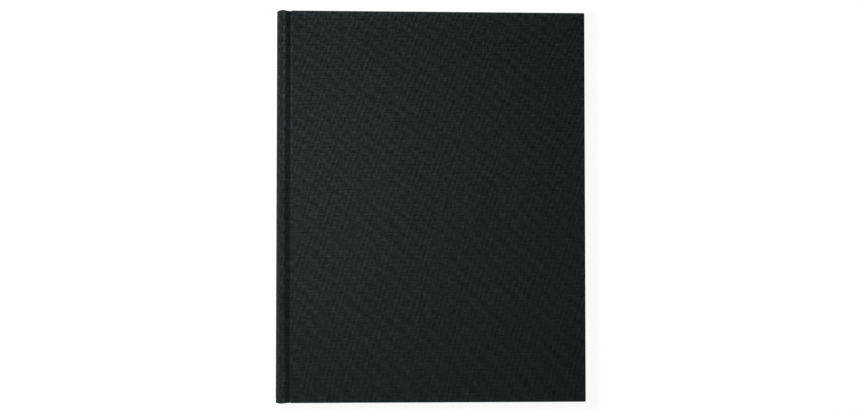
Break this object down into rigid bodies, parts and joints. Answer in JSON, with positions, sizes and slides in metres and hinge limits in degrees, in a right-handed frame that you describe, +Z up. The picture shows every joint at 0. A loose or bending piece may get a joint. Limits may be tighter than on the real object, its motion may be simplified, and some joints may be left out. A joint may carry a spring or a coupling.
{
  "type": "ledger book",
  "caption": "Hardbound ledger book in dark woven cloth: rounded spine, joint grooves and two covers that open about the spine onto a sewn block of leaves.",
  "frame": {"origin": "under the middle of the closed book, on the surface it lies on", "axes": "+Z up out of the front cover, +Y towards the head of the book, the spine at -X and the fore edge at +X"},
  "size_m": [0.2266, 0.2868, 0.0224],
  "materials": {
    "book_cloth": "matt charcoal book cloth, plain weave, starch filled",
    "greyboard": "raw millboard, hidden under the cloth and the pastedown",
    "ruled_paper": "uncoated writing paper, trimmed edges",
    "endpaper": "uncoated endpaper, smooth",
    "mull": "open gauze stiffened with size",
    "lining_paper": "kraft paper",
    "spine_card": "thin flexible card",
    "band_thread": "woven band over a cord"
  },
  "bodies": {
    "book_block": {"text_block": "ruled_paper", "spine_mull": "mull", "spine_lining": "lining_paper", "head_band": "band_thread", "tail_band": "band_thread", "front_flyleaf": "endpaper", "back_flyleaf": "endpaper", "spine_inlay": "spine_card", "spine_cloth": "book_cloth"},
    "front_cover": {"front_board": "greyboard", "front_cover_cloth": "book_cloth", "front_mull_flange": "mull", "front_pastedown": "endpaper"},
    "back_cover": {"back_board": "greyboard", "back_cover_cloth": "book_cloth", "back_mull_flange": "mull", "back_pastedown": "endpaper"}
  },
  "joints": [
    {"name": "front_cover_hinge", "type": "hinge", "parent": "book_block", "child": "front_cover", "pos_m": [-0.10848, 0, 0.02065], "axis": [0, -1, 0], "range_deg": [0, 179.5]},
    {"name": "back_cover_hinge", "type": "hinge", "parent": "book_block", "child": "back_cover", "pos_m": [-0.10848, 0, 0.00175], "axis": [0, 1, 0], "range_deg": [0, 179.5]}
  ]
}
